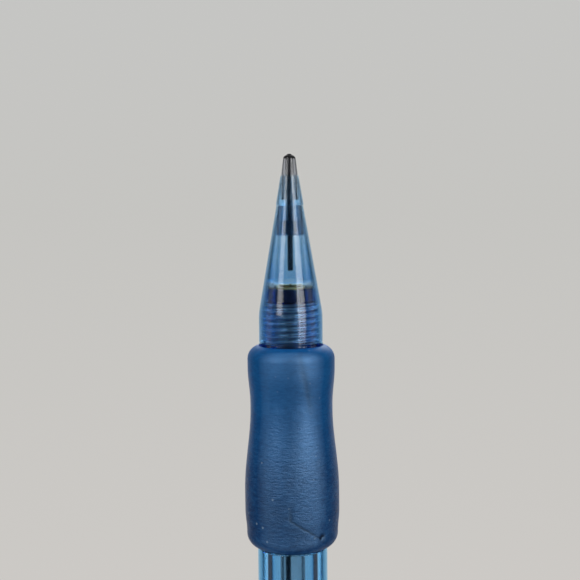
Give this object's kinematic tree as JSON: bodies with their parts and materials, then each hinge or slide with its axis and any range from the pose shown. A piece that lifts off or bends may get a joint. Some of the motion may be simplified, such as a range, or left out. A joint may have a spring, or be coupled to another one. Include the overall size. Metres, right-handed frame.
{
  "type": "mechanical pencil",
  "caption": "Mechanical pencil with a clear screw-on cone, clear blue barrel, soft waisted grip, pocket clip and capped eraser that works as the push button.",
  "frame": {"origin": "centre of the flat rear face of the eraser cap, on the pencil's axis", "axes": "+Z along the pencil to the point of the lead, +X through the pocket clip"},
  "size_m": [0.0138, 0.0124, 0.145],
  "materials": {
    "graphite": "satin graphite",
    "smoke_clear": "clear smoky plastic",
    "blue_clear": "clear blue plastic",
    "black_rubber": "matte",
    "brass": "machined, dulled",
    "navy_clear": "dark blue see-through plastic",
    "spring_steel": "drawn wire",
    "milky_plastic": "milky, half gloss",
    "tube_clear": "slightly milky clear plastic",
    "grip_rubber": "satin, slightly see-through",
    "navy_gloss": "gloss",
    "ferrule_metal": "satin",
    "eraser_white": "matte"
  },
  "bodies": {
    "barrel": {"barrel": "blue_clear", "clutch_sleeve": "navy_clear", "chuck_spring": "spring_steel", "grip": "grip_rubber", "rear_collar": "navy_gloss"},
    "push_unit": {"chuck": "brass", "tube_connector": "milky_plastic", "lead_tube": "tube_clear", "spare_lead": "graphite"},
    "clutch_ring": {"clutch_ring": "brass"},
    "retainer": {"lead_retainer": "black_rubber"},
    "nose": {"nose_cone": "blue_clear", "nose_tip": "blue_clear", "tip_sleeve": "smoke_clear"},
    "lead": {"lead": "graphite"},
    "button": {"push_button": "milky_plastic", "eraser_ferrule": "ferrule_metal", "eraser": "eraser_white"},
    "cap": {"eraser_cap": "blue_clear"},
    "clip": {"clip": "navy_gloss"}
  },
  "joints": [
    {"name": "button_press", "type": "slide", "parent": "barrel", "child": "push_unit", "axis": [0, 0, 1], "range_m": [0, 0.003], "stiffness_N_per_m": 600, "springref_m": -0.0005, "deforming": ["chuck_spring"]},
    {"name": "ring_slide", "type": "slide", "parent": "barrel", "child": "clutch_ring", "axis": [0, 0, 1], "range_m": [0, 0.0006]},
    {"name": "cone_travel", "type": "slide", "parent": "barrel", "child": "retainer", "axis": [0, 0, 1], "range_m": [0, 0.0056]},
    {"name": "cone_turn", "type": "hinge", "parent": "retainer", "child": "nose", "pos_m": [0, 0, 0.12], "axis": [0, 0, 1], "range_deg": [0, 2520]},
    {"name": "lead_feed", "type": "slide", "parent": "retainer", "child": "lead", "axis": [0, 0, 1], "range_m": [-0.0007, 0.0047]},
    {"name": "button_pull", "type": "slide", "parent": "push_unit", "child": "button", "axis": [0, 0, -1], "range_m": [0, 0.0105]},
    {"name": "cap_pull", "type": "slide", "parent": "button", "child": "cap", "axis": [0, 0, -1], "range_m": [0, 0.0105]},
    {"name": "clip_flex", "type": "hinge", "parent": "barrel", "child": "clip", "pos_m": [0.006, 0, 0.0203], "axis": [0, 1, 0], "range_deg": [0, 3.5], "stiffness_Nm_per_rad": 0.09}
  ],
  "couplings": [
    {"joint": "cone_turn", "follows": "cone_travel", "rad_per_m": 7854},
    {"joint": "ring_slide", "follows": "button_press", "ratio": 0.2}
  ]
}
